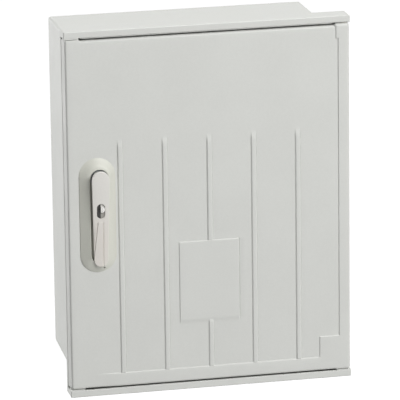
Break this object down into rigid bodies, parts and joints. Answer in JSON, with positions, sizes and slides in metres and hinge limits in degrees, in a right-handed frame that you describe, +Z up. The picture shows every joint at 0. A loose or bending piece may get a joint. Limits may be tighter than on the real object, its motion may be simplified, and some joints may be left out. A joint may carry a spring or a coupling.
{
  "type": "electrical enclosure",
  "caption": "Moulded wall cabinet for electrical gear: ribbed hinged door between roof lip and sill, folding lever handle with key lock, steel plate inside.",
  "frame": {"origin": "middle of the four wall holes, on the back face that meets the wall", "axes": "+X to the right seen from the front, +Y into the wall, +Z up; the door faces -Y"},
  "size_m": [0.4, 0.2286, 0.518],
  "materials": {
    "moulded_grey": "light grey glass-filled polyester moulding, fine satin grain",
    "lever_grey": "light grey satin",
    "lock_metal": "satin nickel",
    "lock_black": "black moulded lock body",
    "zinc_steel": "zinc plated",
    "nylon": "natural nylon",
    "seal_rubber": "black sponge rubber",
    "insert_brass": "turned"
  },
  "bodies": {
    "cabinet": {"body_shell": "moulded_grey", "hinge_bush_upper": "nylon", "hinge_bush_lower": "nylon", "latch_keeper": "zinc_steel", "keeper_screws": "zinc_steel", "mounting_plate": "zinc_steel", "plate_inserts": "insert_brass", "plate_screws": "zinc_steel"},
    "door": {"door_panel": "moulded_grey", "door_seal": "seal_rubber", "hinge_pin_upper": "zinc_steel", "hinge_pin_lower": "zinc_steel", "handle_housing": "moulded_grey", "housing_screws": "zinc_steel", "spindle_bush": "nylon"},
    "turner": {"spindle": "zinc_steel", "latch_cam": "zinc_steel", "cam_washer": "zinc_steel", "cam_screw": "zinc_steel"},
    "lever": {"handle_lever": "lever_grey", "lever_pin": "zinc_steel", "lock_cylinder": "lock_black"},
    "key": {"key_plug": "lock_metal", "lock_catch": "zinc_steel"}
  },
  "joints": [
    {"name": "door_hinge", "type": "hinge", "parent": "cabinet", "child": "door", "pos_m": [0.192, -0.203, 0.002], "axis": [0, 0, 1], "range_deg": [0, 110]},
    {"name": "handle_turn", "type": "hinge", "parent": "door", "child": "turner", "pos_m": [-0.1555, -0.211, 0.055], "axis": [0, -1, 0], "range_deg": [0, 90]},
    {"name": "lever_lift", "type": "hinge", "parent": "turner", "child": "lever", "pos_m": [-0.1555, -0.223, 0.0635], "axis": [-1, 0, 0], "range_deg": [0, 35]},
    {"name": "key_turn", "type": "hinge", "parent": "lever", "child": "key", "pos_m": [-0.1541, -0.224, 0.0135], "axis": [0, -1, 0], "range_deg": [0, 90]}
  ]
}
